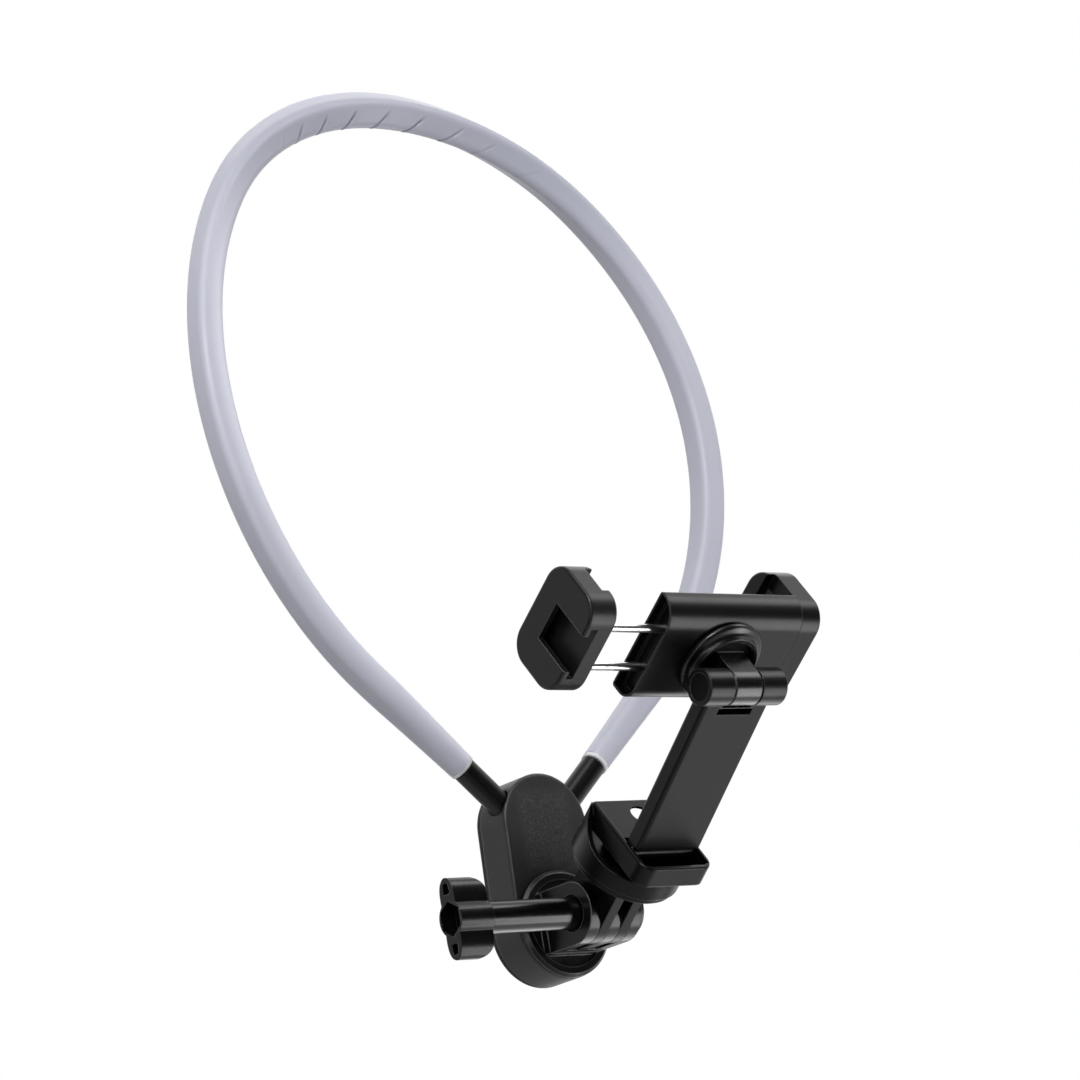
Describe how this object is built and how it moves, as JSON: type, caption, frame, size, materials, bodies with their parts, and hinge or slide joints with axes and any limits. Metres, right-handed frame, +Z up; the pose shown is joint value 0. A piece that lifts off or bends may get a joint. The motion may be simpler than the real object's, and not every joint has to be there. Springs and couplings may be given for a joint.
{
  "type": "neck phone holder",
  "caption": "Bendable neck loop with a chest housing that carries a tilting, turning arm and a spring-jaw clamp for a phone.",
  "frame": {"origin": "centre of the chest housing's back face", "axes": "+Z up as worn, -Y forward away from the wearer's chest, +X to the right seen from the front"},
  "size_m": [0.1898, 0.1834, 0.2704],
  "materials": {
    "black_plastic": "satin moulded nylon, very fine grain",
    "black_metal": "satin black finish",
    "band_silicone": "soft matt lavender-grey silicone",
    "core_metal": "plain wire bundle",
    "bright_steel": "polished",
    "grip_rubber": "matt"
  },
  "bodies": {
    "chest_base": {"housing_front_shell": "black_plastic", "housing_back_cover": "black_plastic", "cover_screws": "bright_steel", "band_sleeve": "band_silicone", "gooseneck_core": "core_metal", "left_ferrule": "black_metal", "right_ferrule": "black_metal"},
    "turntable_group": {"turntable": "black_plastic", "turntable_washer": "bright_steel", "turntable_screw": "bright_steel", "captive_nut": "black_metal"},
    "thumb_screw": {"thumb_knob": "black_plastic", "thumb_bolt": "black_metal"},
    "tilt_group": {"tilt_bracket": "black_plastic", "tray_pivot_screw": "bright_steel"},
    "tray_group": {"tray": "black_plastic", "arm_hinge_pin": "bright_steel"},
    "arm_group": {"arm": "black_plastic", "barrel_pin": "bright_steel", "barrel_caps": "black_plastic"},
    "swivel_group": {"swivel_head": "black_plastic", "swivel_washer": "bright_steel", "swivel_screw": "bright_steel"},
    "clamp_group": {"clamp_body": "black_plastic", "rod_guide": "black_plastic", "fixed_jaw": "black_plastic", "fixed_jaw_pad": "grip_rubber", "back_pad": "grip_rubber", "return_springs": "bright_steel"},
    "jaw_group": {"moving_jaw": "black_plastic", "moving_jaw_pad": "grip_rubber", "guide_rods": "bright_steel", "rod_stops": "bright_steel"}
  },
  "joints": [
    {"name": "turntable_spin", "type": "hinge", "parent": "chest_base", "child": "turntable_group", "pos_m": [0, -0.01967, -0.00845], "axis": [0, 0.9636, -0.2672], "continuous": true},
    {"name": "thumb_screw_turn", "type": "hinge", "parent": "turntable_group", "child": "thumb_screw", "pos_m": [0, -0.03374, -0.00455], "axis": [1, 0, 0], "continuous": true},
    {"name": "knuckle_tilt", "type": "hinge", "parent": "turntable_group", "child": "tilt_group", "pos_m": [0, -0.03374, -0.00455], "axis": [1, 0, 0], "range_deg": [-38, 95]},
    {"name": "tray_turn", "type": "hinge", "parent": "tilt_group", "child": "tray_group", "pos_m": [0, -0.05013, 0.01438], "axis": [0, -0.6157, 0.788], "continuous": true},
    {"name": "arm_fold", "type": "hinge", "parent": "tray_group", "child": "arm_group", "pos_m": [0, -0.06267, 0.01441], "axis": [1, 0, 0], "range_deg": [-20, 30]},
    {"name": "barrel_tilt", "type": "hinge", "parent": "arm_group", "child": "swivel_group", "pos_m": [0, -0.09717, 0.06202], "axis": [1, 0, 0], "range_deg": [-15, 110]},
    {"name": "clamp_swivel", "type": "hinge", "parent": "swivel_group", "child": "clamp_group", "pos_m": [0, -0.08902, 0.06976], "axis": [0, 0.7782, 0.628], "continuous": true},
    {"name": "jaw_slide", "type": "slide", "parent": "clamp_group", "child": "jaw_group", "axis": [-0.9997, -0.0153, 0.019], "range_m": [-0.01, 0.015], "stiffness_N_per_m": 150, "springref_m": -0.02, "deforming": ["return_springs"]}
  ]
}
